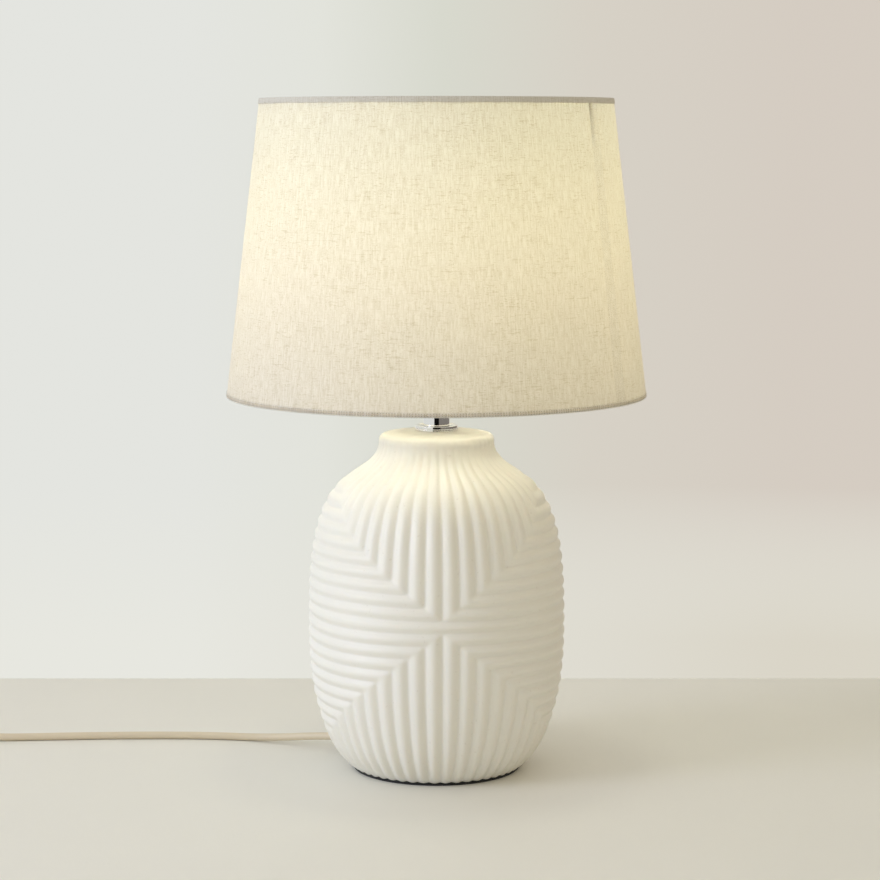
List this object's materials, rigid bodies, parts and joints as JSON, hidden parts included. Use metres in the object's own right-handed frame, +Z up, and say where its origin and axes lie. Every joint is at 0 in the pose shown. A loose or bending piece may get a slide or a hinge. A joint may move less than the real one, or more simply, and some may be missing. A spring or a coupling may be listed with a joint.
{
  "type": "table lamp",
  "caption": "Table lamp with a ribbed white ceramic body, a tapered linen drum shade, a screw bulb and a cord with an inline rocker switch.",
  "frame": {"origin": "centre of the foot's lower face, on the table", "axes": "+Z up along the lamp's axis, -Y towards the front, +X to the right seen from the front"},
  "size_m": [0.6681, 0.3, 0.4805],
  "materials": {
    "ceramic": "satin white glaze",
    "felt": "matt black pad",
    "chrome": "polished",
    "steel": "plain zinc",
    "holder_plastic": "moulded white",
    "terminal_ceramic": "moulded insulating block",
    "brass": "stamped",
    "nickel": "rolled thread",
    "insulator": "black glass ring",
    "opal_glass": "opal",
    "clear_glass": "clear",
    "filament": "phosphor coat",
    "linen": "slubbed natural linen",
    "hem_linen": "rolled linen edge",
    "lining": "laminated lining",
    "white_wire": "white powder coat",
    "wire_sleeve": "insulated core",
    "cord_sheath": "beige sheath",
    "cord_plastic": "beige moulded",
    "rocker_plastic": "beige moulded, smooth",
    "tie": "black band"
  },
  "bodies": {
    "root": {"ceramic_body": "ceramic", "base_felt": "felt", "strain_relief": "cord_plastic", "cord_inside": "cord_sheath", "threaded_tube": "steel", "steel_washer": "steel", "hex_nut": "steel", "cord_grip": "holder_plastic", "flange_lower": "chrome", "flange_upper": "chrome", "neck_sleeve": "chrome", "core_wires": "wire_sleeve", "holder_cap": "holder_plastic", "holder_shell": "holder_plastic", "terminal_block": "terminal_ceramic", "terminal_screws": "brass", "centre_contact": "brass", "side_contact": "brass", "screw_shell": "brass", "switch_base": "cord_plastic", "switch_cover": "cord_plastic", "switch_screws": "steel", "rocker_pin": "steel", "switch_contacts": "brass", "cord_coil": "cord_sheath", "cord_tie": "tie", "plug_body": "cord_plastic", "plug_pins": "nickel", "cord_to_switch": "cord_sheath", "cord_to_coil": "cord_sheath", "cord_to_plug": "cord_sheath"},
    "shade": {"shade_fabric": "linen", "shade_lining": "lining", "bottom_hem": "hem_linen", "top_hem": "hem_linen", "shade_seam": "linen", "bottom_ring": "white_wire", "top_ring": "white_wire", "fitter_hub": "white_wire", "fitter_arms": "white_wire"},
    "clamp_ring": {"shade_ring": "holder_plastic"},
    "bulb": {"bulb_cap": "nickel", "bulb_insulator": "insulator", "bulb_contact": "nickel", "bulb_glass": "opal_glass", "bulb_stem": "clear_glass", "bulb_filaments": "filament"},
    "rocker": {"switch_rocker": "rocker_plastic"}
  },
  "joints": [
    {"name": "shade_turn", "type": "hinge", "parent": "root", "child": "shade", "pos_m": [0, 0, 0.284], "axis": [0, 0, 1], "continuous": true},
    {"name": "clamp_ring_turn", "type": "hinge", "parent": "root", "child": "clamp_ring", "pos_m": [0, 0, 0.29], "axis": [0, 0, 1], "continuous": true},
    {"name": "bulb_turn", "type": "hinge", "parent": "root", "child": "bulb", "pos_m": [0, 0, 0.31], "axis": [0, 0, 1], "continuous": true},
    {"name": "rocker_tip", "type": "hinge", "parent": "root", "child": "rocker", "pos_m": [-0.398, 0.068, 0.011], "axis": [0, 1, 0], "range_deg": [-16, 0]}
  ]
}
